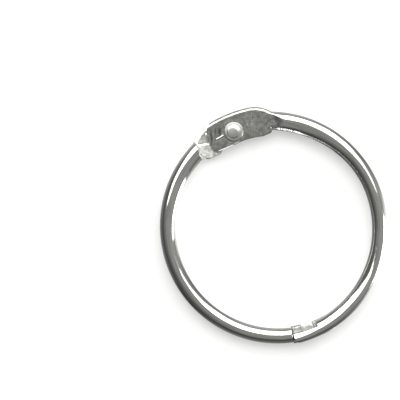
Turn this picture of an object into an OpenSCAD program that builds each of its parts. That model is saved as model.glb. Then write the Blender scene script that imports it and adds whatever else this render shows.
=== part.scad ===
// Hinged binder ring: two half rings of round wire, pinned together by one rivet.
// Frame: the middle of the closed ring is the origin, +Z leaves the front face and
// +Y points at the rivet. The snap closure is at the far side, across -Y.

/* [Ring] */
// Inner width of the closed ring
inside_d = 38; // [32:0.5:50]
// Diameter of the wire
wire_d = 3; // [2.8:0.05:3.2]
// How far past the middle line each half's arc is centred, which makes the ring slightly oval
bow_shift = 0.8; // [0.4:0.1:1.2]

/* [Hinge leaves] */
// How far the rivet sits inside the point where the two arcs would cross
rivet_inset = 1.2; // [0.9:0.05:1.5]
// Thickness of a leaf
leaf_t = 1.1; // [0.9:0.05:1.25]
// Sliding gap between the two leaves
leaf_gap = 0.04; // [0.03:0.01:0.1]
// Reach of a leaf outwards from the rivet
leaf_out = 3.65; // [3.4:0.05:3.8]
// Reach of a leaf inwards from the rivet
leaf_in = 2.3; // [2.1:0.05:2.6]
// Length of a leaf past the rivet
leaf_end = 4.8; // [4.2:0.1:5.4]
// Radius of the leaf's outer shoulder, where it runs back into the wire
root_r = 6.2; // [5.6:0.1:6.8]
// Place of that shoulder, in degrees round the ring from the rivet
root_turn = 10.5; // [9:0.5:13]
// Distance along the ring from the rivet to the heel, the leaf's inner corner
heel_x = 7; // [6.6:0.1:7.3]
// How much further inwards the heel lies than the inner edge at the rivet
heel_drop = 0.7; // [0.5:0.05:0.9]
// Rounding of the leaf's outer edge, left by the round wire
rim_r = 0.65; // [0.4:0.05:0.7]
// Width of the bevel under the same edge, on the sliding side
bevel_w = 1.15; // [0.6:0.05:1.4]
// Height of that bevel at the edge
bevel_h = 0.32; // [0.1:0.02:0.4]
// Rounding of the leaf's corners, seen from the front
corner_r = 0.6; // [0.3:0.05:0.9]
// Distance from the rivet to the shoulder where the full wire begins
shoulder_x = 7.7; // [7.2:0.1:8.2]
// Distance from the rivet to the foot of the ramp up to the wire's crest
ramp_x = 8.2; // [7.8:0.1:9]

/* [Rivet] */
// Diameter of the rivet's shank
shank_d = 2.2; // [1.8:0.05:2.6]
// Running clearance round the shank in the rear leaf
shank_gap = 0.05; // [0.03:0.01:0.09]
// Diameter of the front head's flange
head_d = 3.8; // [3.4:0.05:4.4]
// Height of the flange
head_h = 0.3; // [0.16:0.02:0.4]
// Rounding of the flange's edge
head_r = 0.2; // [0.1:0.02:0.28]
// Diameter of the button in the middle of the front head
button_d = 3; // [2.4:0.1:3.2]
// Height of the button above the leaf
button_h = 0.68; // [0.5:0.02:0.9]
// Rounding of the button's edge
button_r = 0.36; // [0.2:0.02:0.38]
// Diameter of the peened rear head
peen_d = 3.4; // [3:0.1:4]
// Height of the peened rear head
peen_h = 0.45; // [0.4:0.05:0.6]
// Gap under the peened head, so that the rear leaf turns freely
peen_gap = 0.03; // [0.02:0.01:0.06]

/* [Snap closure] */
// Place of the seam, in degrees round the ring from the far side
seam_turn = 12; // [9:0.5:14]
// Length of the plug along the ring
plug_len = 7.9; // [7.4:0.1:8.6]
// Reach of the plug inwards from the wire's centreline
plug_in = 1.95; // [1.8:0.05:2.2]
// Reach of the plug outwards from the wire's centreline
plug_out = 1.7; // [1.55:0.05:1.9]
// Depth of the plug's rear face below the ring's middle plane
plug_deep = 1.4; // [1.2:0.05:1.45]
// Bevel along both of the plug's front edges
plug_bevel = 0.3; // [0.15:0.05:0.45]
// Length of the plain root before the notch
notch_at = 2; // [1.6:0.1:2.4]
// Length of the notch
notch_len = 2.2; // [1.8:0.1:2.4]
// Width of the metal left beside the notch
waist_w = 1.85; // [1.6:0.05:2]
// Length of the plug's bevelled tip
tip_len = 1.9; // [1.5:0.1:2.2]
// Drop of that bevel at the very end
tip_drop = 0.75; // [0.5:0.05:1]
// Rounding of the plug's end corners
tip_r = 0.5; // [0.3:0.05:0.7]
// Width of the lap over the plug
lap_w = 2; // [1.85:0.05:2.2]
// Length of the narrow part of the lap
lap_len = 4.8; // [4.4:0.1:5.2]
// Height of the lap's underside above the ring's middle plane
lap_z = 0.15; // [0.12:0.01:0.25]
// Rounding of the lap's outer end corner
lap_r = 0.9; // [0.6:0.05:1.2]
// Clearance between the closure's two halves
snap_gap = 0.06; // [0.04:0.01:0.1]

/* [Die mark] */
// Length of the plain raised dash beside the rivet
dash_l = 1.7; // [1.2:0.1:1.9]
// Width of the dash
dash_w = 0.3; // [0.2:0.05:0.4]
// Height of the dash
dash_h = 0.12; // [0.06:0.02:0.2]
// Distance from the rivet to the middle of the dash
dash_x = 3; // [2.9:0.05:3.3]

/* [Hidden] */
$fn = 96;

wire_r = wire_d / 2;
ring_r = inside_d / 2 + wire_r;
bow_r = ring_r + bow_shift;
cross_y = sqrt(pow(bow_r, 2) - pow(bow_shift, 2));
rivet_y = cross_y - rivet_inset;

past = 1;          // how far a cutter runs past what it cuts
past_turn = 3;     // the same, in degrees round the ring
bury = 0.25;       // how far a fused piece runs on inside its neighbour
far = 4 * wire_d;  // more than any section of the ring

// the leaf's faces, and its edges as arcs about the middle of the ring
leaf_face = leaf_gap / 2;
leaf_top = leaf_face + leaf_t;
edge_out = rivet_y + leaf_out;
edge_in = rivet_y - leaf_in;
heel_y = edge_in - heel_drop;
root_a = 90 - root_turn;
root_x = (edge_out - root_r) * cos(root_a);
end_turn = asin(leaf_end / edge_in);

// the centreline's distance from the middle of the ring, at the seam, in either half
seam_a = 270 - seam_turn;
seam_shift = bow_shift * sin(seam_turn);
seam_reach = sqrt(pow(bow_r, 2) - pow(bow_shift * cos(seam_turn), 2));
plug_r = seam_reach - seam_shift;
lap_r0 = seam_reach + seam_shift;

// radii of the plug's and the lap's edges
plug_in_r = plug_r - plug_in;
plug_out_r = plug_r + plug_out;
waist_r = plug_out_r - waist_w;
lap_in_r = plug_r + wire_r - lap_w;
lap_out_r = lap_r0 + wire_r;

// the angle that a length takes up along the closure
function turn(s) = s / plug_r * 180 / PI;

// children at an angle round the ring: x leads outwards and y runs on round the ring
module at_ring(a) {
    rotate([0, 0, a]) children();
}

// a flat section, swept round the ring from one angle to another
module swept(a0, a1) {
    at_ring(a0) rotate_extrude(angle = a1 - a0) children();
}

// a block with a rectangular section that follows the ring
module sector(a0, a1, r0, r1, z0, z1) {
    swept(a0, a1) translate([r0, z0]) square([r1 - r0, z1 - z0]);
}

// what lies outside a rounded corner: the corner points along +x and +y from the rounding's centre
module corner_cut(r) {
    difference() {
        translate([0, 0, -far]) cube([r + past, r + past, 2 * far]);
        translate([0, 0, -far]) cylinder(r = r, h = 2 * far);
    }
}

// a section that is flat below and ends in a rounded rim at its upper outer corner
module rim_section(r0, r1) {
    translate([r0, leaf_face]) square([r1 - rim_r - r0, leaf_t]);
    translate([r0, leaf_face]) square([r1 - r0, leaf_t - rim_r]);
    translate([r1 - rim_r, leaf_top - rim_r]) circle(r = rim_r);
}

// the wedge that is pressed off under the leaf's outer edge, up to the radius r1
module bevel_section(r1) {
    slope = bevel_h / bevel_w;
    low = leaf_face - wire_r * slope;
    polygon([[r1 - bevel_w - wire_r, low], [r1 + past, leaf_face + (bevel_w + past) * slope],
             [r1 + past, low]]);
}

// children(0) and children(1), swept along the leaf's outer edge: round the ring, then round the shoulder
module along_edge() {
    at_ring(root_a) {
        rotate_extrude(angle = end_turn + 2 * root_turn) children(0);
        translate([edge_out - root_r, 0, 0]) rotate_extrude(angle = -180) children(1);
    }
}

// the stamped leaf, with its sliding face down and its free end towards -x
module leaf() {
    end_c = leaf_end - corner_r;
    heel_wire = sqrt(pow(bow_r, 2) - pow(heel_x + bow_shift, 2));
    difference() {
        along_edge() {
            rim_section(edge_in - past, edge_out);
            rim_section(0, root_r);
        }
        // inner edge: an arc, running straight on to the free end and dropping to the heel
        translate([0, 0, -far]) cylinder(r = edge_in, h = 2 * far);
        translate([-far, 0, -far]) cube([far, edge_in, 2 * far]);
        translate([0, 0, -far]) cube([ring_r, heel_y, 2 * far]);
        translate([heel_x, 0, -far]) cube([far, heel_wire, 2 * far]);
        translate([heel_x - corner_r, heel_y + corner_r, 0]) mirror([0, 1, 0]) corner_cut(corner_r);
        // free end
        translate([-leaf_end - far, 0, -far]) cube([far, 2 * ring_r, 2 * far]);
        translate([-end_c, sqrt(pow(edge_out - corner_r, 2) - pow(end_c, 2)), 0])
            mirror([1, 0, 0]) corner_cut(corner_r);
        translate([-end_c, edge_in + corner_r, 0]) rotate([0, 0, 180]) corner_cut(corner_r);
    }
}

// the bent wire, from inside the leaf round to an angle just past end_a
module bow(end_a) {
    start_a = acos((root_x + bow_shift) / bow_r);
    translate([-bow_shift, 0, 0]) rotate([0, 0, end_a - past_turn])
        rotate_extrude(angle = start_a - end_a + past_turn)
            translate([bow_r, 0]) circle(r = wire_r);
}

// either half without its end: leaf at +Y, wire down the +x side to a cut at end_a
module half_blank(end_a) {
    difference() {
        union() {
            leaf();
            difference() {
                bow(end_a);
                // the stamped flat, and the ramp from it up to the wire's crest
                rotate([90, 0, 0]) translate([0, 0, -2 * ring_r]) linear_extrude(2 * ring_r)
                    polygon([[0, leaf_top], [ramp_x, leaf_top],
                             [ramp_x + past, leaf_top + past], [0, leaf_top + past]]);
                // room for the other leaf, up to the shoulder
                translate([0, 0, leaf_face - far]) cube([shoulder_x, 2 * ring_r, far]);
            }
        }
        at_ring(end_a) translate([0, -far, -far]) cube([2 * ring_r, far, 2 * far]);
        // bevel under the outer edge
        intersection() {
            along_edge() {
                bevel_section(edge_out);
                bevel_section(root_r);
            }
            translate([shoulder_x - 4 * far, 0, -far]) cube([4 * far, 2 * ring_r, 2 * far]);
        }
    }
}

// the plug's section: a flat bar with both front edges bevelled
module plug_section() {
    polygon([[plug_in_r, -plug_deep], [plug_out_r, -plug_deep],
             [plug_out_r, -leaf_face - plug_bevel], [plug_out_r - plug_bevel, -leaf_face],
             [plug_in_r + plug_bevel, -leaf_face], [plug_in_r, -leaf_face - plug_bevel]]);
}

// the stamped plug, with the notch that the snap tooth drops into
module plug() {
    tip_a = seam_a + turn(plug_len);
    difference() {
        swept(seam_a - turn(bury), tip_a + past_turn) plug_section();
        at_ring(tip_a) translate([0, 0, -far]) cube([2 * ring_r, far, 2 * far]);
        sector(seam_a + turn(notch_at), seam_a + turn(notch_at + notch_len),
               plug_in_r - past, waist_r, -far, far);
        // lead-in bevel and rounded corners at the tip
        at_ring(tip_a) rotate([90, 0, 90]) linear_extrude(2 * ring_r)
            polygon([[-tip_len, -leaf_face], [past, -leaf_face - tip_drop * (1 + past / tip_len)],
                     [past, past], [-tip_len, past]]);
        at_ring(tip_a) translate([plug_out_r - tip_r, -tip_r, 0]) corner_cut(tip_r);
        at_ring(tip_a) translate([plug_in_r + tip_r, -tip_r, 0]) mirror([1, 0, 0]) corner_cut(tip_r);
    }
}

// the pocket behind the lap, which leaves a tooth just above the plug's face, in line with the notch
module pocket() {
    difference() {
        sector(seam_a - seam_turn, seam_a + turn(plug_len + snap_gap),
               plug_in_r - past, plug_out_r + past, -far, lap_z);
        sector(seam_a + turn(notch_at + snap_gap), seam_a + turn(notch_at + notch_len - snap_gap),
               plug_in_r - 2 * past, waist_r - snap_gap, snap_gap - leaf_face, lap_z + past);
    }
}

// half with the front leaf and the lap that covers the plug
module catch_half() {
    color("silver") {
        difference() {
            half_blank(seam_a - 360 + turn(snap_gap));
            translate([0, rivet_y, -far]) cylinder(d = shank_d, h = 2 * far);
            pocket();
            // the strip left off the lap's inner side
            sector(seam_a - seam_turn, seam_a + turn(lap_len),
                   plug_in_r - past, lap_in_r, -far, far);
            at_ring(seam_a + turn(snap_gap)) translate([lap_out_r - lap_r, lap_r, 0])
                mirror([0, 1, 0]) corner_cut(lap_r);
        }
        dash();
    }
}

// the plain raised dash that the die leaves beside the rivet
module dash() {
    translate([-dash_x, rivet_y, leaf_top - dash_h]) linear_extrude(2 * dash_h) {
        square([dash_l - dash_w, dash_w], center = true);
        for (side = [-1, 1])
            translate([side * (dash_l - dash_w) / 2, 0]) circle(d = dash_w);
    }
}

// half with the rear leaf and the plug
module plug_half() {
    color("silver") {
        difference() {
            rotate([0, 180, 0]) half_blank(seam_turn - 90);
            translate([0, rivet_y, -far]) cylinder(r = shank_d / 2 + shank_gap, h = 2 * far);
        }
        plug();
    }
}

// a dome as wide as d and h high, over z = 0
module dome(d, h) {
    r = (d * d / 4 + h * h) / (2 * h);
    rotate_extrude() intersection() {
        translate([0, h - r]) circle(r = r);
        square([d / 2, h]);
    }
}

// a disc as wide as d and h high, over z = 0, with its upper edge rounded
module rounded_disc(d, h, r) {
    rotate_extrude() {
        square([d / 2 - r, h]);
        square([d / 2, h - r]);
        translate([d / 2 - r, h - r]) intersection() {
            circle(r = r);
            square([r, r]);
        }
    }
}

// the rivet: staked in the front leaf, with the rear leaf turning on its shank
module hinge_rivet() {
    color("gainsboro") translate([0, rivet_y, 0]) {
        translate([0, 0, -leaf_top - peen_gap]) cylinder(d = shank_d, h = 2 * leaf_top + peen_gap);
        translate([0, 0, leaf_top]) {
            rounded_disc(head_d, head_h, head_r);
            rounded_disc(button_d, button_h, button_r);
        }
        translate([0, 0, -leaf_top - peen_gap]) mirror([0, 0, 1]) dome(peen_d, peen_h);
    }
}

catch_half();
plug_half();
hinge_rivet();
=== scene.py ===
import math

import bmesh
import bpy
import numpy as np
from mathutils import Matrix, Vector


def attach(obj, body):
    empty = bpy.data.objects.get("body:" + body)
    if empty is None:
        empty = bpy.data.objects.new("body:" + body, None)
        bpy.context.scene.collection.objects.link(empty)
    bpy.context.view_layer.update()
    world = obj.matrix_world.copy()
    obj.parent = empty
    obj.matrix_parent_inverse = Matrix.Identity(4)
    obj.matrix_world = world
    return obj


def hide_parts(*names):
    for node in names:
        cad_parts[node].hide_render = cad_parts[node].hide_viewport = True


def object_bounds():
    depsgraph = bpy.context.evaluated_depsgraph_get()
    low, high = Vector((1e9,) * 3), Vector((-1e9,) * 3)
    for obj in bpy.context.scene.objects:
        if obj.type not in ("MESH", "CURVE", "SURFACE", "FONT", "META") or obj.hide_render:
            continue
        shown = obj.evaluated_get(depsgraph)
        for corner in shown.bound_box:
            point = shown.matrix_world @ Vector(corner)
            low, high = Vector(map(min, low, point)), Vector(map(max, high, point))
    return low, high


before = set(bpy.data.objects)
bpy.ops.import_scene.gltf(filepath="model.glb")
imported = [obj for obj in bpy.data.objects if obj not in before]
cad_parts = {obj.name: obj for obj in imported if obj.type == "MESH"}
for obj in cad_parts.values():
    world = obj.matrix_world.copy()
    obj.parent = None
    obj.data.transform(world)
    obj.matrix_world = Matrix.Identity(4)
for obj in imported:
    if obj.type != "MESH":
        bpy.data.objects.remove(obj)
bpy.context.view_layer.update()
mm = 0.001

# a hinged binder ring that lies closed on a white table: sizes are in millimetres and degrees
camera = {
    "frameWidth": 77.48,       # what the frame's width covers at the ring
    "imageSize": 400,          # pixels
    "ringAt": (273.7, 227.5),  # the ring's middle in the frame, pixels
    "roll": 22.7,              # the hinge leans this far to the left
    "distance": 500,
}


def makeCamera():
    data = bpy.data.cameras.new("camera")
    data.sensor_width = 36
    data.lens = data.sensor_width * camera["distance"] / camera["frameWidth"]
    data.clip_start = 0.01
    data.clip_end = 20
    obj = bpy.data.objects.new("camera", data)
    bpy.context.scene.collection.objects.link(obj)
    half = camera["imageSize"] / 2
    scale = camera["frameWidth"] / camera["imageSize"]
    aside = Vector(((half - camera["ringAt"][0]) * scale, (camera["ringAt"][1] - half) * scale, 0))
    roll = Matrix.Rotation(-math.radians(camera["roll"]), 4, "Z")
    obj.matrix_world = Matrix.Translation(
        (roll @ aside + Vector((0, 0, camera["distance"]))) * mm) @ roll
    bpy.context.scene.camera = obj


makeCamera()
print("camera set")


def objectFrom(bm, name, sharpFrom=None):
    # a finished shape becomes an object of the scene
    mesh = bpy.data.meshes.new(name)
    bm.to_mesh(mesh)
    bm.free()
    if sharpFrom:
        mesh.shade_smooth()
        mesh.set_sharp_from_angle(angle=math.radians(sharpFrom))
    obj = bpy.data.objects.new(name, mesh)
    bpy.context.scene.collection.objects.link(obj)
    return obj


# the wire: each half is bowed about a point a little past the ring's middle
ring = {"insideWidth": 38, "wireThick": 3, "bowShift": 0.8}
wireR = ring["wireThick"] / 2
bowR = ring["insideWidth"] / 2 + wireR + ring["bowShift"]
tooFar = 99    # a distance that cuts nothing

# forging the leaf also spread the wire inwards beside it: how much, and over which angles it fades out
spread = {"catch": 0.62, "plug": 0.38, "from": 34, "to": 88}

# pressing the lap left the catch half's end oval, leaning inwards: how much along it, and more at its tip
lean = {
    "catch": 0.22, "catchTip": 0.2,
    "plug": 0, "plugTip": 0,
    "from": -48, "to": -35,
    "tipFrom": -90, "tipTo": -100,
    "fullHeight": 1.2,    # it grows from the wire's middle up to here
}

# a low flash runs along the catch half's inner side, from the heel on
flash = {
    "height": 0.79,    # of its top, over the wire's middle
    "rise": 0.1,       # slope of its top, up towards the ring's middle
    "edge": 0.1,
    "full": 9,         # from this x on it sinks into the wire
    "fade": 36,        # and is 1 mm lower after this length
}

# the leaf that is pressed flat from the wire's end, and pinned to the other half's leaf
leaf = {
    "rivetInset": 1.2,
    "thick": 1.1,
    "slidingGap": 0.04,
    "reachOut": 3.64,
    "reachIn": 2.3,
    "freeEnd": 5.25,       # the end is an arc about the rivet
    "rootRadius": 6.2,     # the outer edge turns back into the wire round this curve
    "rootTurn": 10.5,
    "heelX": 7,
    "rearHeelX": 3.2,      # the rear leaf's heel starts here
    "heelDrop": 0.7,
    "rimRadius": 0.65,
    "edgeRadius": 0.12,
    "cornerRadius": 0.6,
    "shoulderX": 7.7,      # the other leaf stops against the wire here
    "rampX": 8.2,          # the wire's round top starts to rise from the flat here
    "rampSlope": 0.3,
    "bevelWidth": 1.15,    # pressed off under the outer edge, on the sliding side
    "bevelHeight": 0.32,
}

# the sliding face is struck a little deeper outside this line, beyond the other leaf's reach
crease = {"fromX": 4.9, "fade": 0.3, "atX": 5.3, "atY": 19.6, "slope": 0.26, "depth": 0.1, "width": 0.35}

# shearing left a burr along the front leaf's inner edge
burr = {
    "out": 0.14,
    "up": 0.06,
    "width": 0.2,
    "edge": 0.05,
    "endX": 0.8,    # it has faded out here
    "fade": 2,      # over this length
}

# the die's nicks in the front face, given as painted shade and not cut into the mesh: x, distance outside
# the rivet, length, width
nicks = ((-4.5, 0.3, 1.05, 0.17), (-4.3, 1.35, 0.6, 0.15),
         (-3.25, 1.45, 0.7, 0.17), (-2.5, 1.05, 0.9, 0.27))
nickTurn = math.radians(67)

rivetY = math.sqrt(bowR**2 - ring["bowShift"] ** 2) - leaf["rivetInset"]
leafFace = leaf["slidingGap"] / 2
leafTop = leafFace + leaf["thick"]
edgeOut = rivetY + leaf["reachOut"]
edgeIn = rivetY - leaf["reachIn"]
heelY = edgeIn - leaf["heelDrop"]
rootTurn = math.radians(90 - leaf["rootTurn"])
rootX = (edgeOut - leaf["rootRadius"]) * math.cos(rootTurn)
rootY = (edgeOut - leaf["rootRadius"]) * math.sin(rootTurn)


def smooth(t):
    t = min(1, max(0, t))
    return t * t * (3 - 2 * t)


def mix(a, b, t):
    return a + (b - a) * t


# each form below is the distance to a shape's surface, negative inside the shape
def wireY(x):
    # where the wire's centreline crosses x, beside the hinge
    return math.sqrt(bowR**2 - (x + ring["bowShift"]) ** 2)


def meet(a, b, radius):
    # what lies in both shapes, with the edge between them rounded
    corner = np.hypot(np.maximum(a + radius, 0), np.maximum(b + radius, 0))
    return np.minimum(np.maximum(a, b), -radius) + corner


def join(a, b, radius):
    # both shapes together, with a fillet between them
    return -meet(-a, -b, radius)


def wireForm(x, y, z, side):
    # round wire, wider inwards beside the leaf and oval at the catch half's end
    off = np.hypot(x + ring["bowShift"], y) - bowR
    fromHinge = np.degrees(np.arctan2(x, y))
    fade = np.clip((spread["to"] - fromHinge) / (spread["to"] - spread["from"]), 0, 1)
    wide = 1 + spread[side] / wireR * fade * fade * (3 - 2 * fade)
    turn = np.degrees(np.arctan2(y, x))
    along = np.clip((lean["to"] - turn) / (lean["to"] - lean["from"]), 0, 1)
    tip = np.clip((lean["tipFrom"] - turn) / (lean["tipFrom"] - lean["tipTo"]), 0, 1)
    rise = (lean[side] * along + lean[side + "Tip"] * tip) * np.clip(z / lean["fullHeight"], 0, 1)
    wire = np.hypot(np.where(off < 0, off / wide, off), z - rise * off) - wireR
    if side == "plug":
        return wire
    height = flash["height"] - np.clip((x - flash["full"]) / flash["fade"], 0, 1)
    top = z - height + flash["rise"] * off
    fin = np.maximum(meet(top, -off - wireR * wide, flash["edge"]), off)
    return np.where((y > 0) & (x > leaf["shoulderX"]), np.minimum(wire, np.maximum(fin, -z)), wire)


def creaseY(x):
    return crease["atY"] + crease["slope"] * (x - crease["atX"])


def leafForm(x, y, z, side):
    # the leaf without its sliding face, then that face, then its front
    r = np.hypot(x, y)
    beyondRoot = math.cos(rootTurn) * y - math.sin(rootTurn) * x < 0
    outer = np.where(beyondRoot, np.hypot(x - rootX, y - rootY) - leaf["rootRadius"], r - edgeOut)
    if side == "catch":
        rough = np.clip((burr["endX"] - x) / burr["fade"], 0, 1)
        inner = np.where(x < 0, edgeIn - y, np.maximum(edgeIn - r, heelY - y)) - burr["out"] * rough
    else:
        rough = 0 * x
        inner = edgeIn - y - leaf["heelDrop"] * np.clip((x - leaf["rearHeelX"]) / leaf["heelDrop"], 0, 1)
    heel = np.minimum(x - leaf["heelX"], wireY(leaf["heelX"]) - y)
    corner = leaf["cornerRadius"]
    end = np.where(x < 0, np.hypot(x, y - rivetY) - leaf["freeEnd"], -tooFar)
    plan = np.maximum(meet(outer, end, corner), meet(inner, end, corner))
    plan = np.maximum(plan, meet(inner, heel, corner))
    edge = mix(leaf["edgeRadius"], burr["edge"], rough)
    top = z - leafTop - burr["up"] * np.clip(1 + inner / burr["width"], 0, 1) * rough
    body = np.maximum(meet(outer, top, leaf["rimRadius"]), meet(plan, top, edge))
    slope = leaf["bevelHeight"] / leaf["bevelWidth"]
    bevel = (leafFace - z + (outer + leaf["bevelWidth"]) * slope) / math.hypot(1, slope)
    sunk = np.clip((y - creaseY(x)) / crease["width"], 0, 1)
    sunk = sunk * np.clip((x - crease["fromX"]) / crease["fade"], 0, 1)
    return body, np.maximum(leafFace - z + crease["depth"] * sunk, bevel), top


def nickShare(x, y):
    # how much painted nick shade falls here: 1 at the deepest of the nicks, 0 away from them
    share = 0
    for fromX, fromRivet, length, width in nicks:
        dx, dy = x - fromX, y - rivetY - fromRivet
        u = (dx * math.cos(nickTurn) + dy * math.sin(nickTurn)) / length
        v = (dy * math.cos(nickTurn) - dx * math.sin(nickTurn)) / width
        share = share + np.exp(-u * u - v * v)
    return share


def blankForm(x, y, z, side):
    # leaf and wire, the wire pressed flat on top and cut away below for the other leaf
    edge = leaf["edgeRadius"]
    slope = leaf["rampSlope"]
    ramp = (z - leafTop - (x - leaf["rampX"]) * slope) / math.hypot(1, slope)
    upper, wall = np.minimum(z - leafTop, ramp), leaf["shoulderX"] - x
    room = np.minimum(leafFace - z, wall)
    wire = wireForm(x, y, z, side)
    body, face, top = leafForm(x, y, z, side)
    pressed = join(np.maximum(body, leafFace - z), meet(meet(wire, upper, edge), room, edge), edge)
    pressed = np.maximum(np.maximum(pressed, np.minimum(upper, top)), np.minimum(leafFace - z, wall))
    return np.where(y > 0, meet(pressed, np.minimum(face, wall), edge / 2), wire)


# the snap closure: a notched plug on one half, under a half-lap on the other
closure = {
    "seamTurn": 12,        # the seam stands this far from the point opposite the hinge
    "plugLength": 7.9,
    "plugIn": 1.65,        # the plug's reach inside the wire's middle, up to the notch
    "tailIn": 1.45,        # and past it
    "plugOut": 1.7,
    "plugDeep": 1.4,
    "plugBevel": 0.3,
    "notchAt": 1.7,
    "notchLength": 2.5,
    "waist": 1.85,         # what is left of the plug beside the notch
    "tipLength": 1.9,
    "tipDrop": 0.75,
    "tipRadius": 0.5,
    "lapWidth": 1.85,
    "lapLength": 4.8,
    "lapHeight": 0.15,
    "lapRadius": 0.9,
    "lapEdge": 0.22,
    "gap": 0.08,
    "edgeRadius": 0.1,
    "crown": 0.2,          # how far the lap's end bulges
    "seamRadius": 0.4,
    "bury": 0.25,          # the plug starts this far inside the wire
}
seam = math.radians(closure["seamTurn"])
seamReach = math.sqrt(bowR**2 - (ring["bowShift"] * math.cos(seam)) ** 2)
plugR = seamReach - ring["bowShift"] * math.sin(seam)
lapR = seamReach + ring["bowShift"] * math.sin(seam)
plugOutR = plugR + closure["plugOut"]
waistR = plugOutR - closure["waist"]
lapInR = plugR + wireR - closure["lapWidth"]
lapOutR = lapR + wireR


def past(x, y, start):
    # distance round the ring past an angle, the way that a half runs on to its end
    return np.where(y > 0, -tooFar, (start - np.arctan2(y, x)) * plugR)


def crown(r):
    # how far the seam bulges towards the plug's half
    return closure["crown"] * np.clip(1 - ((r - plugR) / wireR) ** 2, -1, 1)


def catchForm(x, y, z):
    # this half's end laps over the plug: s counts back from the seam
    edge, gap = closure["edgeRadius"], closure["gap"]
    s = -past(x, y, -math.pi / 2 - seam)
    r = np.hypot(x, y)
    pad = np.maximum(closure["notchAt"] + gap - s, s - closure["notchAt"] - closure["notchLength"] + gap)
    pad = np.maximum(np.maximum(pad, r - waistR + gap), gap - leafFace - z)
    pocket = np.minimum(closure["lapHeight"] - z, closure["plugLength"] + gap - s)
    shape = meet(blankForm(x, y, z, "catch"), np.minimum(pocket, pad), edge / 2)
    shape = meet(shape, np.minimum(lapInR - r, closure["lapLength"] - s), closure["lapEdge"])
    corner = np.where(y > 0, -tooFar, meet(r - lapOutR, gap - s - crown(r), closure["lapRadius"]))
    return meet(shape, corner, edge)


def plugForm(x, y, z):
    # the half that ends in the stamped plug, lying face down
    edge = closure["edgeRadius"]
    s = past(x, y, seam - math.pi / 2)
    r = np.hypot(x, y)
    wire = meet(blankForm(x, y, z, "plug"), s + crown(r), closure["seamRadius"])
    tail = s > closure["notchAt"] + closure["notchLength"] / 2
    width = np.maximum(plugR - np.where(tail, closure["tailIn"], closure["plugIn"]) - r, r - plugOutR)
    bevel = (width + leafFace - z + closure["plugBevel"]) / math.sqrt(2)
    lead = closure["tipDrop"] / closure["tipLength"]
    tip = (leafFace - z + (s - closure["plugLength"] + closure["tipLength"]) * lead) / math.hypot(1, lead)
    bar = meet(width, s - closure["plugLength"], closure["tipRadius"])
    bar = meet(bar, z - closure["plugDeep"], edge)
    bar = meet(bar, np.maximum(np.maximum(leafFace - z, bevel), tip), edge / 2)
    bar = np.maximum(bar, -closure["bury"] - s)
    notch = np.maximum(closure["notchAt"] - s, s - closure["notchAt"] - closure["notchLength"])
    bar = meet(bar, -np.maximum(notch, r - waistR), edge)
    return np.minimum(wire, bar)


# each half starts as a tube of points strung along it, and is then pressed out onto its form
blank = {
    "around": 144,          # points round the section
    "wireStep": 1.25,       # degrees between sections along the plain wire
    "leafStep": 0.12,       # between sections along the leaf
    "endStep": 0.09,        # and along the closure
    "fanEnd": 12.5,         # where the leaf's parallel sections have turned into the wire's radial ones
    "endSkin": 0.004,       # how far inside the form the closing faces lie
    "starEnds": 0.5,        # the star's ends lie this far inside the leaf's edges
    "starHalf": 1.1,        # its half length where it meets the wire
    "starFlat": 0.3,        # how flat it is in the leaf
    "toWireX": 5,           # the star moves from the leaf's middle to the wire's from here on
    "toWireLength": 1.8,
    "toEndLength": 3,       # and to the closure's own middle over this length
    "marchStep": 0.04,      # first steps out to the form
    "marchEnd": 4,
    "halvings": 14,         # then the last step is halved so many times
    "normalStep": 0.002,
    "sameWay": 0.75,        # a face that looks this much the form's way is shaded smooth
    "lapLead": 0.6,         # the close sections start this far before the pocket
    "lapMiddle": (21.5, 0.7),      # radius and height that the lap's sections go out from
    "plugLead": 0.2,
    "plugMiddle": (21.9, 1.05),
}
nearEdge = [-0.1, -0.06, -0.03, -0.012, -0.003, 0.003, 0.012, 0.03, 0.06, 0.1]

# where the metal is pressed or coined, which gives it another finish
worked = {
    "wireSkin": 0.06,       # what lies this far off the round wire is pressed
    "heelCoined": 0.45,     # how coined the sliding face is beyond the crease
    "slidingDown": -0.9,    # the sliding face looks down more than this
    "pocketDown": -0.5,     # and so does the pocket
    "frontUp": 0.8,         # the face with the painted nick shade looks up more than this
}


def stepsBetween(start, stop, step, edges):
    # even steps, with close ones on both sides of each edge
    fine = [e + d for e in edges for d in nearEdge]
    even = np.linspace(start, stop, round((stop - start) / step) + 1)
    clear = [x for x in even if all(abs(x - f) > step / 3 for f in fine)]
    return sorted(x for x in clear + fine if start <= x <= stop)


def leafSection(x):
    # middle, half length and flatness of the star that a section's points are pressed out along
    reach = math.sqrt(leaf["freeEnd"] ** 2 - x * x) if x < 0 else edgeOut
    low = max(edgeIn, rivetY - reach) if x < 0 else max(math.sqrt(edgeIn**2 - x * x), heelY)
    high = min(math.sqrt(edgeOut**2 - x * x), rivetY + reach)
    if x > edgeOut * math.cos(rootTurn):
        high = rootY + math.sqrt(leaf["rootRadius"] ** 2 - (x - rootX) ** 2)
    toWire = smooth((x - blank["toWireX"]) / blank["toWireLength"])
    middle = mix((low + high) / 2, wireY(x), toWire)
    half = max((high - low) / 2 - blank["starEnds"], 0)
    return [x, middle, mix(leafFace, leafTop, 0.5), 0, mix(half, blank["starHalf"], toWire),
            blank["starFlat"]]


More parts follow.
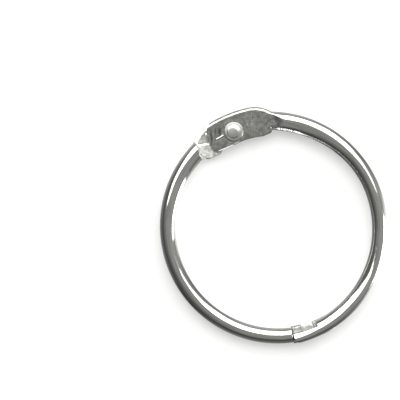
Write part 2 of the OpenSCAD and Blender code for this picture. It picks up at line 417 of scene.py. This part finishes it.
def sections(toEnd, lastSteps, endR, endZ):
    # every section from the leaf's free end to the closure: x, y, z, turn, half length, flatness
    shoulder, fanEnd = leaf["shoulderX"], blank["fanEnd"]
    edges = [-leaf["freeEnd"], leaf["heelX"], shoulder]
    rows = [leafSection(x) for x in stepsBetween(-leaf["freeEnd"] + blank["endSkin"], shoulder + 0.1,
                                                 blank["leafStep"], edges)]
    first = leafSection(shoulder)
    for x in np.arange(shoulder + 0.2, fanEnd, blank["leafStep"] * 1.5):
        t = smooth((x - shoulder) / (fanEnd - shoulder))
        y = wireY(x)
        rows.append([x, y, mix(first[2], 0, t), math.atan2(x, y) * t, mix(first[4], 0, t),
                     mix(first[5], 1, t)])
    a = math.atan2(wireY(fanEnd), fanEnd)
    step = math.radians(blank["wireStep"])
    while a > toEnd:
        t = smooth(1 - (a - toEnd) * plugR / blank["toEndLength"])
        r = -ring["bowShift"] * math.cos(a) + math.sqrt(bowR**2 - (ring["bowShift"] * math.sin(a)) ** 2)
        r = mix(r, endR, t)
        rows.append([r * math.cos(a), r * math.sin(a), mix(0, endZ, t), math.pi / 2 - a, 0, 1])
        a -= step if (a - toEnd) * plugR > blank["toEndLength"] + 1 else step / 3
    for s in lastSteps:
        a = toEnd - s / plugR
        rows.append([endR * math.cos(a), endR * math.sin(a), endZ, math.pi / 2 - a, 0, 1])
    return np.array(rows)


def pressOut(form, rows):
    # each point goes out along its ray to the form's surface, and takes the surface's own normal
    phi = np.linspace(0, 2 * math.pi, blank["around"] + 1)
    x, y, z, turn, half, flat = (rows[:, i, None] for i in range(6))
    ux, uy = np.sin(turn), np.cos(turn)
    ox, oy, oz = x + ux * half * np.cos(phi), y + uy * half * np.cos(phi), z + 0 * phi
    out = np.hypot(flat * np.cos(phi), np.sin(phi))
    dx, dy, dz = ux * flat * np.cos(phi) / out, uy * flat * np.cos(phi) / out, np.sin(phi) / out
    near, far = np.zeros_like(oz), np.full_like(oz, np.nan)
    for t in np.arange(0, blank["marchEnd"], blank["marchStep"]):
        outside = form(ox + dx * t, oy + dy * t, oz + dz * t) > 0
        far = np.where(np.isnan(far) & outside, t, far)
        near = np.where(np.isnan(far), t, near)
    for _ in range(blank["halvings"]):
        t = (near + far) / 2
        outside = form(ox + dx * t, oy + dy * t, oz + dz * t) > 0
        near, far = np.where(outside, near, t), np.where(outside, t, far)
    p = np.stack([ox + dx * far, oy + dy * far, oz + dz * far], axis=-1)
    h = blank["normalStep"]
    n = np.stack([form(*(p[..., i] + h * (i == k) for i in range(3)))
                  - form(*(p[..., i] - h * (i == k) for i in range(3))) for k in range(3)], axis=-1)
    n /= np.maximum(np.linalg.norm(n, axis=-1, keepdims=True), 1e-9)
    return p, n


def pressedShare(p, side):
    # 1 on what the dies pressed or cut, 0 on the round wire
    return np.clip(np.abs(wireForm(p[..., 0], p[..., 1], p[..., 2], side)) / worked["wireSkin"], 0, 1)


def coinedShare(p, n, turned):
    # 1 on what was coined or sheared: the sliding face, the whole plug and the pocket over it
    x, y = p[..., 0], p[..., 1]
    sliding = (y > 0) & (n[..., 2] < worked["slidingDown"]) & (x < leaf["shoulderX"])
    sliding = np.where((y < creaseY(x)) | (x < crease["fromX"]), 1, worked["heelCoined"]) * sliding
    start = seam if turned else closure["plugLength"] / plugR - seam
    ending = (y < 0) & (np.arctan2(y, x) < start - math.pi / 2)
    return np.maximum(sliding, ending & (turned | (n[..., 2] < worked["pocketDown"])))


def makeHalf(name, form, rows, side, turned):
    p, n = pressOut(form, rows)
    count = blank["around"]
    along = np.concatenate([[0], np.cumsum(np.hypot(*np.diff(rows[:, :2], axis=0).T))])
    share = pressedShare(p, side)
    coined = share * coinedShare(p, n, turned)
    bare = (p[..., 1] < 0) | (n[..., 2] < worked["frontUp"]) | turned
    # painted shade at the nicks, on the front face only
    paintedNickShade = np.where(bare, 0, nickShare(p[..., 0], p[..., 1]))
    bm = bmesh.new()
    bmesh.ops.create_grid(bm, x_segments=count, y_segments=len(rows) - 1, size=1)
    bm.verts.ensure_lookup_table()
    uv = bm.loops.layers.uv.new("length")
    for face in bm.faces:
        for loop in face.loops:
            i, j = divmod(loop.vert.index, count + 1)
            loop[uv].uv = along[i] * mm, j / count * 2 * math.pi * wireR * mm
    for vert in bm.verts:
        vert.co = p[divmod(vert.index, count + 1)]
    normalLayer = bm.verts.layers.float_vector.new("formNormal")
    shareLayer = bm.verts.layers.float.new("pressed")
    coinedLayer = bm.verts.layers.float.new("coined")
    paintedNickShadeLayer = bm.verts.layers.float.new("paintedNickShade")
    for vert in bm.verts:
        at = divmod(vert.index, count + 1)
        vert[normalLayer] = n[at]
        vert[shareLayer] = share[at]
        vert[coinedLayer] = coined[at]
        vert[paintedNickShadeLayer] = paintedNickShade[at]
    bmesh.ops.remove_doubles(bm, verts=bm.verts, dist=1e-5)
    bmesh.ops.holes_fill(bm, edges=[e for e in bm.edges if e.is_boundary], sides=0)
    if turned:
        bmesh.ops.rotate(bm, verts=bm.verts, matrix=Matrix.Rotation(math.pi, 3, "Y"))
        for vert in bm.verts:
            v = vert[normalLayer]
            vert[normalLayer] = (-v[0], v[1], -v[2])
    bmesh.ops.scale(bm, verts=bm.verts, vec=(mm, mm, mm))
    bmesh.ops.recalc_face_normals(bm, faces=bm.faces)
    obj = objectFrom(bm, name)
    shadeByForm(obj.data)
    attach(obj, side + "_side")
    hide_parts(side + "_half")
    print(name, "has", len(obj.data.polygons), "faces")
    return obj


def shadeByForm(mesh):
    # smooth where a face follows the form's own normal, flat on the steps between sections
    corners = len(mesh.loops)
    vertOf = np.empty(corners, int)
    mesh.loops.foreach_get("vertex_index", vertOf)
    formNormal = np.empty(len(mesh.vertices) * 3, np.float32)
    mesh.attributes["formNormal"].data.foreach_get("vector", formNormal)
    formNormal = formNormal.reshape(-1, 3)[vertOf]
    faceNormal = np.empty(len(mesh.polygons) * 3, np.float32)
    mesh.polygons.foreach_get("normal", faceNormal)
    sides = np.empty(len(mesh.polygons), int)
    mesh.polygons.foreach_get("loop_total", sides)
    faceNormal = np.repeat(faceNormal.reshape(-1, 3), sides, axis=0)
    follows = (formNormal * faceNormal).sum(axis=1) > blank["sameWay"]
    mesh.shade_smooth()
    mesh.normals_split_custom_set(np.where(follows[:, None], formNormal, faceNormal).tolist())
    mesh.attributes.remove(mesh.attributes["formNormal"])


gap = closure["gap"]
notchEnds = [closure["notchAt"], closure["notchAt"] + closure["notchLength"]]
lapStart = closure["plugLength"] + gap + blank["lapLead"]
lapEnd = gap - closure["crown"]
lapSteps = stepsBetween(0, lapStart - lapEnd - blank["endSkin"], blank["endStep"],
                        [lapStart - s for s in (closure["plugLength"] + gap, closure["lapLength"],
                                                notchEnds[0] + gap, notchEnds[1] - gap, lapEnd)])
lapRows = sections(-math.pi / 2 - seam + lapStart / plugR, lapSteps, *blank["lapMiddle"])
catchHalf = makeHalf("catchHalf", catchForm, lapRows, "catch", False)

plugStart = closure["bury"] + blank["plugLead"]
plugSteps = stepsBetween(0, plugStart + closure["plugLength"] - blank["endSkin"], blank["endStep"],
                         [plugStart + s for s in (-closure["bury"], 0, *notchEnds,
                                                  closure["plugLength"] - closure["tipLength"],
                                                  closure["plugLength"])])
plugRows = sections(seam - math.pi / 2 + plugStart / plugR, plugSteps, *blank["plugMiddle"])
plugHalf = makeHalf("plugHalf", plugForm, plugRows, "plug", True)

# the raised dash that the die leaves beside the rivet
dieMark = {
    "length": 1.83,
    "width": 0.42,
    "height": 0.15,
    "root": 0.1,        # it starts this deep in the leaf
    "edge": 0.18,
    "fromRivet": 2.9,
    "tilt": 7,
}


def makeDash():
    bm = bmesh.new()
    half, r = (dieMark["length"] - dieMark["width"]) / 2, dieMark["width"] / 2
    turns = [math.radians(15 * i - 90) for i in range(13)]
    outline = [(half + r * math.cos(t), r * math.sin(t)) for t in turns]
    outline += [(-x, -y) for x, y in outline]
    base = bm.faces.new([bm.verts.new((x, y, -dieMark["root"])) for x, y in outline])
    top = bmesh.ops.extrude_face_region(bm, geom=[base])["geom"]
    bmesh.ops.translate(bm, verts=[v for v in top if isinstance(v, bmesh.types.BMVert)],
                        vec=(0, 0, dieMark["root"] + dieMark["height"]))
    rim = [e for e in bm.edges if all(v.co.z > 0 for v in e.verts)]
    bmesh.ops.bevel(bm, geom=rim, offset=dieMark["edge"], segments=4, affect="EDGES", profile=0.5,
                    material=-1)
    bmesh.ops.recalc_face_normals(bm, faces=bm.faces)
    bmesh.ops.rotate(bm, verts=bm.verts, matrix=Matrix.Rotation(math.radians(dieMark["tilt"]), 3, "Z"))
    bmesh.ops.translate(bm, verts=bm.verts, vec=(-dieMark["fromRivet"], rivetY, leafTop))
    bmesh.ops.scale(bm, verts=bm.verts, vec=(mm, mm, mm))
    obj = objectFrom(bm, "dash", 40)
    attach(obj, "catch_side")
    return obj


dash = makeDash()
print("dash made")

# the snap tooth under the lap: its foot stops at the plug's face, over the notch
tooth = {
    "inset": 1.6,      # it ends this far inside the plug's middle line
    "root": 0.3,       # and starts this deep in the lap
    "height": 0.42,
    "slope": 0.03,     # its face drops so much on the ring's inner side
    "edge": 0.07,
}


def makeTooth():
    bm = bmesh.new()
    bmesh.ops.create_cube(bm, size=1)
    inside, outside = plugR - tooth["inset"], lapInR + tooth["root"]
    length = closure["notchLength"] - 2 * closure["gap"]
    bmesh.ops.scale(bm, verts=bm.verts, vec=(length, outside - inside, tooth["height"]))
    bmesh.ops.translate(bm, verts=bm.verts, vec=(0, -(inside + outside) / 2, tooth["height"] / 2))
    for vert in bm.verts:
        if vert.co.z > 0 and vert.co.y > -(inside + outside) / 2:
            vert.co.z -= tooth["slope"]
    bmesh.ops.bevel(bm, geom=bm.edges[:], offset=tooth["edge"], segments=3, affect="EDGES",
                    profile=0.5, material=-1)
    turn = (closure["notchAt"] + closure["notchLength"] / 2) / plugR - seam
    bmesh.ops.rotate(bm, verts=bm.verts, matrix=Matrix.Rotation(turn, 3, "Z"))
    bmesh.ops.scale(bm, verts=bm.verts, vec=(mm, mm, mm))
    for kind in ("pressed", "coined"):
        layer = bm.verts.layers.float.new(kind)
        for vert in bm.verts:
            vert[layer] = 1
    obj = objectFrom(bm, "tooth", 50)
    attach(obj, "catch_side")
    return obj


snapTooth = makeTooth()
print("tooth made")

# the rivet pins the leaves: a domed button on a flange in front, a peened end behind
rivet = {
    "shank": 2.2,
    "headWidth": 3.78,
    "headHeight": 0.3,
    "headEdge": 0.25,
    "headFoot": 0.03,               # left upright under the rounded edge, and drawn in so much
    "domeHeight": 0.52,
    "domeBend": 14,                 # the radius that its top is domed to
    "domeWidth": 1.8,
    "stepWidth": 2.86,              # a rounded step leads from the dome to the flange
    "domeAside": (-0.25, -0.12),    # the setting tool stood a little off centre
    "domeLean": 0.06,               # and leaned, so the top slopes down that way
    "rearWidth": 3.4,
    "rearHeight": 0.45,
    "rearEdge": 0.7,
    "rearFoot": 0.04,
    "rearGap": 0.03,                # the leaves can turn under it
    "around": 96,
}


def roundedStep(radius, height, across, down, steps=7):
    # outline of a rounded outer edge: it ends at the given radius, below the given height
    turns = [math.pi / 2 * i / steps for i in range(steps + 1)]
    return [(radius - across * (1 - math.sin(t)), height - down * (1 - math.cos(t))) for t in turns]


def inFixedOrder(bm):
    # a spin leaves its edges and faces in an order that varies from run to run
    bm.verts.index_update()
    for items in (bm.edges, bm.faces):
        ordered = sorted(items, key=lambda item: sorted(vert.index for vert in item.verts))
        for place, item in enumerate(ordered):
            item.index = place
        items.sort()


def makeRivet():
    back = -leafTop - rivet["rearGap"]
    dome, step, bend = rivet["domeWidth"] / 2, rivet["stepWidth"] / 2, rivet["domeBend"]
    head, rear = rivet["headWidth"] / 2, rivet["rearWidth"] / 2
    top, rim = leafTop + rivet["domeHeight"], leafTop + rivet["headHeight"]
    foot, rearFoot = rivet["headFoot"], rivet["rearFoot"]
    # half outline from the top of the dome down to the peened rear end: radius, height
    outline = [(dome * i / 10, top - bend + math.sqrt(bend**2 - (dome * i / 10) ** 2)) for i in range(11)]
    low = outline[-1][1]
    outline += [(mix(dome, step, i / 12), mix(low, rim, smooth(i / 12))) for i in range(1, 13)]
    outline += roundedStep(head, rim, rivet["headEdge"], rivet["headHeight"] - foot)
    outline += [(head - foot, leafTop), (rivet["shank"] / 2, leafTop), (rivet["shank"] / 2, back)]
    under = roundedStep(rear, -back + rivet["rearHeight"], rivet["rearEdge"],
                        rivet["rearHeight"] - rearFoot)
    outline += [(rear - rearFoot, back)] + [(r, -z) for r, z in reversed(under)]
    outline += [(0, back - rivet["rearHeight"])]
    bm = bmesh.new()
    verts = [bm.verts.new((r, 0, z)) for r, z in outline]
    edges = [bm.edges.new(pair) for pair in zip(verts, verts[1:])]
    bmesh.ops.spin(bm, geom=verts + edges, cent=(0, 0, 0), axis=(0, 0, 1), angle=2 * math.pi,
                   steps=rivet["around"], use_merge=True)
    bmesh.ops.remove_doubles(bm, verts=bm.verts, dist=1e-4)
    inFixedOrder(bm)
    bmesh.ops.recalc_face_normals(bm, faces=bm.faces)
    for vert in bm.verts:
        share = smooth((vert.co.z - rim) / (low - rim))
        down = vert.co.dot(Vector((*rivet["domeAside"], 0)).normalized()) * rivet["domeLean"]
        vert.co += Vector((*rivet["domeAside"], -down)) * share
    bmesh.ops.translate(bm, verts=bm.verts, vec=(0, rivetY, 0))
    bmesh.ops.scale(bm, verts=bm.verts, vec=(mm, mm, mm))
    obj = objectFrom(bm, "rivet", 50)
    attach(obj, "catch_side")
    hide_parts("hinge_rivet")
    return obj


rivetPiece = makeRivet()
print("rivet made")


def linear(code):
    # an sRGB hex colour as the linear values that a shader takes
    parts = [int(code[i:i + 2], 16) / 255 for i in (1, 3, 5)]
    return [c / 12.92 if c <= 0.04045 else ((c + 0.055) / 1.055) ** 2.4 for c in parts] + [1]


def addNode(tree, kind, links=None, **settings):
    # a node with its settings; links maps an input to a value or to another node's output
    node = tree.nodes.new(kind)
    for key, value in settings.items():
        setattr(node, key, value)
    for key, value in (links or {}).items():
        if isinstance(value, bpy.types.NodeSocket):
            tree.links.new(value, node.inputs[key])
        else:
            node.inputs[key].default_value = value
    return node


# the halves' nickel: on the drawn wire, where it is pressed, and where it is coined
plating = {
    "dark": "#C6C6C0",
    "light": "#E2E2DC",
    "pressedDark": "#A0A09A",
    "pressedLight": "#C8C8C2",
    "coinedDark": "#B4B4AE",
    "coinedLight": "#E2E2DE",
    "nickShadeColour": "#6A6A66",    # painted shade of the nicks' grooves
    "polishedRoughness": 0.1,
    "pressedRoughness": 0.17,
    "coinedRoughness": 0.46,
    "scratchWidth": 0.2,        # mm across a polishing line, drawn coarser than it is
    "scratchLength": 5,         # mm along it
    "scratchDepth": 0.006,
    "waveSize": 7,              # mm between the soft waves left by bending
    "waveDepth": 0.25,
    "grainSize": 0.7,           # mm, the pressed faces' mottle
    "grainDepth": 0.02,
    "shearWidth": 0.34,         # mm across a shear mark on the coined faces
    "shearLength": 2.5,
    "shearDepth": 0.07,
    "shearTurn": -68,           # degrees, the way the marks run
}


def platedWire():
    # bright nickel plate on bent steel wire: mirror-like, with lines drawn out along the wire and slow
    # waves; where the dies pressed it flat it is mottled, and where they coined it pale and streaked
    material = bpy.data.materials.new("brightNickelPlate")
    material.use_nodes = True
    tree = material.node_tree
    tree.nodes.clear()
    place = addNode(tree, "ShaderNodeTexCoord").outputs["Object"]
    length = addNode(tree, "ShaderNodeUVMap", uv_map="length").outputs["UV"]
    pressed = addNode(tree, "ShaderNodeAttribute", attribute_name="pressed").outputs["Fac"]
    coined = addNode(tree, "ShaderNodeAttribute", attribute_name="coined").outputs["Fac"]
    paintedNickShade = addNode(tree, "ShaderNodeAttribute", attribute_name="paintedNickShade").outputs["Fac"]
    lines = addNode(tree, "ShaderNodeMapping", {
        "Vector": length,
        "Scale": (1 / (plating["scratchLength"] * mm), 1 / (plating["scratchWidth"] * mm), 1)})
    scratch = addNode(tree, "ShaderNodeTexNoise", {
        "Vector": lines.outputs["Vector"], "Scale": 1, "Detail": 3, "Roughness": 0.6})
    wave = addNode(tree, "ShaderNodeTexNoise", {
        "Vector": place, "Scale": 1 / (plating["waveSize"] * mm), "Detail": 1})
    grain = addNode(tree, "ShaderNodeTexNoise", {
        "Vector": place, "Scale": 1 / (plating["grainSize"] * mm), "Detail": 2.5, "Roughness": 0.55})
    turned = addNode(tree, "ShaderNodeMapping", {
        "Vector": place, "Rotation": (0, 0, -math.radians(plating["shearTurn"]))})
    shearLines = addNode(tree, "ShaderNodeMapping", {
        "Vector": turned.outputs["Vector"],
        "Scale": (1 / (plating["shearLength"] * mm), 1 / (plating["shearWidth"] * mm), 1 / mm)})
    shear = addNode(tree, "ShaderNodeTexNoise", {
        "Vector": shearLines.outputs["Vector"], "Scale": 1, "Detail": 2, "Roughness": 0.5})
    normal = None
    for texture, strength, depth in ((wave, 1, "waveDepth"), (scratch, 1, "scratchDepth"),
                                     (grain, pressed, "grainDepth"), (shear, coined, "shearDepth")):
        links = {"Height": texture.outputs["Fac"], "Strength": strength, "Distance": plating[depth] * mm}
        if normal:
            links["Normal"] = normal
        normal = addNode(tree, "ShaderNodeBump", links).outputs["Normal"]
    mottle = addNode(tree, "ShaderNodeMapRange", {
        "Value": grain.outputs["Fac"], "From Min": 0.36, "From Max": 0.64}).outputs["Result"]
    streak = addNode(tree, "ShaderNodeMapRange", {
        "Value": scratch.outputs["Fac"], "From Min": 0.35, "From Max": 0.65}).outputs["Result"]
    colour = addNode(tree, "ShaderNodeMix", {
        "Factor": streak, 6: linear(plating["dark"]), 7: linear(plating["light"])},
        data_type="RGBA").outputs[2]
    roughness = plating["polishedRoughness"]
    for share, kind in ((pressed, "pressed"), (coined, "coined")):
        roughness = addNode(tree, "ShaderNodeMix", {
            "Factor": share, 2: roughness, 3: plating[kind + "Roughness"]}).outputs[0]
        tone = addNode(tree, "ShaderNodeMix", {
            "Factor": mottle, 6: linear(plating[kind + "Dark"]), 7: linear(plating[kind + "Light"])},
            data_type="RGBA").outputs[2]
        colour = addNode(tree, "ShaderNodeMix", {"Factor": share, 6: colour, 7: tone},
                         data_type="RGBA").outputs[2]
    # the nicks are painted dark: painted shade for grooves that the mesh does not cut
    colour = addNode(tree, "ShaderNodeMix", {"Factor": paintedNickShade, 6: colour, 7: linear(plating["nickShadeColour"])},
                     data_type="RGBA").outputs[2]
    shader = addNode(tree, "ShaderNodeBsdfPrincipled", {
        "Base Color": colour, "Metallic": 1, "Roughness": roughness, "Normal": normal})
    addNode(tree, "ShaderNodeOutputMaterial", {"Surface": shader.outputs["BSDF"]})
    return material


rivetPlating = {
    "colour": "#B9B9B3",
    "smoothest": 0.26,    # its roughness between the pits
    "roughest": 0.38,
    "pitSize": 0.35,      # mm
    "pitDepth": 0.008,
}


def platedRivet():
    # barrel-nickelled rivet: the button's top is slightly pitted and duller than the wire
    material = bpy.data.materials.new("barrelNickelPlate")
    material.use_nodes = True
    tree = material.node_tree
    tree.nodes.clear()
    coords = addNode(tree, "ShaderNodeTexCoord")
    pits = addNode(tree, "ShaderNodeTexNoise", {
        "Vector": coords.outputs["Object"], "Scale": 1 / (rivetPlating["pitSize"] * mm),
        "Detail": 3, "Roughness": 0.6})
    bump = addNode(tree, "ShaderNodeBump", {
        "Height": pits.outputs["Fac"], "Strength": 1, "Distance": rivetPlating["pitDepth"] * mm})
    rough = addNode(tree, "ShaderNodeMapRange", {
        "Value": pits.outputs["Fac"], "From Min": 0.35, "From Max": 0.65,
        "To Min": rivetPlating["smoothest"], "To Max": rivetPlating["roughest"]})
    shader = addNode(tree, "ShaderNodeBsdfPrincipled", {
        "Base Color": linear(rivetPlating["colour"]), "Metallic": 1,
        "Roughness": rough.outputs["Result"], "Normal": bump.outputs["Normal"]})
    addNode(tree, "ShaderNodeOutputMaterial", {"Surface": shader.outputs["BSDF"]})
    return material


wireFinish = platedWire()
for piece in (catchHalf, plugHalf, dash, snapTooth):
    piece.data.materials.append(wireFinish)
rivetPiece.data.materials.append(platedRivet())
print("finishes made")

# turn is in degrees round from +X, and tilt in degrees down from straight above
softbox = {"turn": 67, "tilt": 43, "roll": 10, "away": 0.6, "size": (1.22, 0.7), "power": 8}
sidePanel = {"turn": -34, "tilt": 78, "roll": 0, "away": 0.6, "size": (0.34, 0.36), "power": 2}


def around(turn, tilt, away):
    turn, tilt = math.radians(turn), math.radians(tilt)
    return Vector((math.sin(tilt) * math.cos(turn), math.sin(tilt) * math.sin(turn), math.cos(tilt))) * away


def makeLamp(name, lamp):
    data = bpy.data.lights.new(name, "AREA")
    data.shape = "RECTANGLE"
    data.size, data.size_y = lamp["size"]
    data.energy = lamp["power"]
    obj = bpy.data.objects.new(name, data)
    bpy.context.scene.collection.objects.link(obj)
    obj.location = around(lamp["turn"], lamp["tilt"], lamp["away"])
    facing = obj.location.to_track_quat("Z", "Y").to_matrix()
    obj.rotation_euler = (facing @ Matrix.Rotation(math.radians(lamp["roll"]), 3, "Z")).to_euler()
    obj.visible_camera = False


# white behind the ring, and a dim studio round it: greyer overhead, darkest at the lower left
room = {
    "zenith": 0.31,
    # the ceiling's lighter and darker sides: turn, tilt, sharpness, gain
    "ceiling": ((-8, 50, 3, 0.1), (187, 52, 9, -0.19)),
    "ceilingFrom": 0.48,    # how high the ceiling starts, where straight up is 1
    "ceilingTo": 0.76,
    "horizon": 0.15,
    "darkTurn": 212,
    "darkDrop": 0.075,
    "brightTurn": -5,
    "brightRise": 0.28,
}


def makeWorld():
    world = bpy.data.worlds.new("studio")
    bpy.context.scene.world = world
    world.use_nodes = True
    tree = world.node_tree
    tree.nodes.clear()
    coords = addNode(tree, "ShaderNodeTexCoord").outputs["Generated"]

    def lobe(direction, power):
        # 1 straight towards the direction, 0 from a quarter turn away
        dot = addNode(tree, "ShaderNodeVectorMath", {0: coords, 1: direction}, operation="DOT_PRODUCT")
        clipped = addNode(tree, "ShaderNodeMath", {0: dot.outputs["Value"], 1: 0}, operation="MAXIMUM")
        return addNode(tree, "ShaderNodeMath", {0: clipped.outputs[0], 1: power},
                       operation="POWER").outputs[0]

    def scaled(value, low, high):
        return addNode(tree, "ShaderNodeMapRange", {"Value": value, "To Min": low, "To Max": high},
                       clamp=False).outputs["Result"]

    def total(a, b):
        return addNode(tree, "ShaderNodeMath", {0: a, 1: b}, operation="ADD").outputs[0]

    height = addNode(tree, "ShaderNodeSeparateXYZ", {0: coords}).outputs["Z"]
    overhead = addNode(tree, "ShaderNodeMapRange", {
        "Value": height, "From Min": room["ceilingFrom"], "From Max": room["ceilingTo"]},
        interpolation_type="SMOOTHSTEP").outputs["Result"]
    dark = scaled(lobe(around(room["darkTurn"], 90, 1), 1), room["horizon"],
                  room["horizon"] - room["darkDrop"])
    bright = scaled(lobe(around(room["brightTurn"], 90, 1), 2), 0, room["brightRise"])
    ceiling = room["zenith"]
    for turn, tilt, power, gain in room["ceiling"]:
        ceiling = total(scaled(lobe(around(turn, tilt, 1), power), 0, gain), ceiling)
    level = addNode(tree, "ShaderNodeMix", {
        "Factor": overhead, 2: total(dark, bright), 3: ceiling}).outputs[0]
    dim = addNode(tree, "ShaderNodeBackground", {"Color": linear("#FFFFFF"), "Strength": level})
    white = addNode(tree, "ShaderNodeBackground", {"Color": linear("#FFFFFF"), "Strength": 1})
    rays = addNode(tree, "ShaderNodeLightPath")
    both = addNode(tree, "ShaderNodeMixShader", {
        "Fac": rays.outputs["Is Camera Ray"], 1: dim.outputs[0], 2: white.outputs[0]})
    addNode(tree, "ShaderNodeOutputWorld", {"Surface": both.outputs[0]})


# matt white card: it takes the ring's shadow, and shows plain white away from it; in the metal it shows
# instead as a glow of painted light and shade
card = {
    "radius": 3,              # metres
    "colour": "#CACAC8",
    "lift": 0.42,             # how much of its white it shows by itself
    "liftStart": 0.05,        # from here out it turns to plain white, metres
    "liftEnd": 0.6,
    "paintedFloorLight": 0.19,        # how light the painted glow is where the metal shows the card
    "paintedFloorLightNear": 0.3,     # a painted pool of light: it is so much lighter close to the wire
    "nearStart": 1.5,         # mm to either side of the wire's middle
    "nearEnd": 5,
    "outsideAt": 0.5,         # mm inside the wire's middle: up to here it shows as outside the ring
    "insideAt": 1.5,          # and from here on as inside it
    # painted light and shade that stand for the panels and the dark room beyond: turn, sharpness, gain
    "paintedFloorLightAround": ((-34, 12, 1.8), (82, 3, 0.4), (198, 30, -0.15), (284, 20, -0.08)),
    "darkest": 0.055,
}


def makeFloor():
    bm = bmesh.new()
    bmesh.ops.create_circle(bm, cap_ends=True, segments=96, radius=card["radius"])
    bmesh.ops.translate(bm, verts=bm.verts, vec=(0, 0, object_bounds()[0][2]))
    obj = objectFrom(bm, "floor")
    material = bpy.data.materials.new("matCard")
    material.use_nodes = True
    tree = material.node_tree
    tree.nodes.clear()
    rays = addNode(tree, "ShaderNodeLightPath")
    place = addNode(tree, "ShaderNodeTexCoord").outputs["Object"]
    away = addNode(tree, "ShaderNodeVectorMath", {0: place}, operation="LENGTH").outputs["Value"]
    fade = addNode(tree, "ShaderNodeMapRange", {
        "Value": away, "From Min": card["liftStart"], "From Max": card["liftEnd"]}).outputs["Result"]
    # which side of the wire a spot lies on, and so which way the metal that shows it looks
    heading = addNode(tree, "ShaderNodeVectorMath", {0: place}, operation="NORMALIZE").outputs["Vector"]
    side = addNode(tree, "ShaderNodeMapRange", {
        "Value": away, "From Min": (bowR - card["outsideAt"]) * mm,
        "From Max": (bowR - card["insideAt"]) * mm, "To Min": 1, "To Max": -1}).outputs["Result"]
    aside = addNode(tree, "ShaderNodeMath", {0: away, 1: bowR * mm}, operation="SUBTRACT").outputs[0]
    aside = addNode(tree, "ShaderNodeMath", {0: aside}, operation="ABSOLUTE").outputs[0]
    level = addNode(tree, "ShaderNodeMapRange", {
        "Value": aside, "From Min": card["nearStart"] * mm, "From Max": card["nearEnd"] * mm,
        "To Min": card["paintedFloorLight"] + card["paintedFloorLightNear"],
        "To Max": card["paintedFloorLight"]}).outputs["Result"]
    for turn, power, gain in card["paintedFloorLightAround"]:
        dot = addNode(tree, "ShaderNodeVectorMath", {0: heading, 1: around(turn, 90, 1)},
                      operation="DOT_PRODUCT").outputs["Value"]
        dot = addNode(tree, "ShaderNodeMath", {0: dot, 1: side}, operation="MULTIPLY").outputs[0]
        dot = addNode(tree, "ShaderNodeMath", {0: dot, 1: 0}, operation="MAXIMUM").outputs[0]
        dot = addNode(tree, "ShaderNodeMath", {0: dot, 1: power}, operation="POWER").outputs[0]
        level = addNode(tree, "ShaderNodeMath", {0: dot, 1: gain, 2: level},
                        operation="MULTIPLY_ADD").outputs[0]
    level = addNode(tree, "ShaderNodeMath", {0: level, 1: card["darkest"]},
                    operation="MAXIMUM").outputs[0]
    white = addNode(tree, "ShaderNodeEmission", {"Color": linear("#FFFFFF"), "Strength": 1}).outputs[0]
    matt = addNode(tree, "ShaderNodeBsdfDiffuse", {"Color": linear(card["colour"])}).outputs[0]
    lift = addNode(tree, "ShaderNodeMath", {0: rays.outputs["Is Camera Ray"], 1: card["lift"]},
                   operation="MULTIPLY").outputs[0]
    glow = addNode(tree, "ShaderNodeEmission", {"Color": linear("#FFFFFF"), "Strength": lift}).outputs[0]
    lifted = addNode(tree, "ShaderNodeAddShader", {0: matt, 1: glow}).outputs[0]
    plain = addNode(tree, "ShaderNodeMath", {0: rays.outputs["Is Camera Ray"], 1: fade},
                    operation="MULTIPLY").outputs[0]
    seen = addNode(tree, "ShaderNodeMixShader", {"Fac": plain, 1: lifted, 2: white}).outputs[0]
    # the metal sees not the lit card but an emission of painted light and shade: lighter by the wire and
    # towards the side panel, darker towards the lower left
    paintedReflection = addNode(tree, "ShaderNodeEmission", {
        "Color": linear("#FFFFFF"), "Strength": level}).outputs[0]
    surface = addNode(tree, "ShaderNodeMixShader", {
        "Fac": rays.outputs["Is Glossy Ray"], 1: seen, 2: paintedReflection})
    addNode(tree, "ShaderNodeOutputMaterial", {"Surface": surface.outputs[0]})
    obj.data.materials.append(material)


makeLamp("softbox", softbox)
makeLamp("sidePanel", sidePanel)
makeWorld()
makeFloor()
bpy.context.scene.view_settings.view_transform = "Standard"
print("studio set")
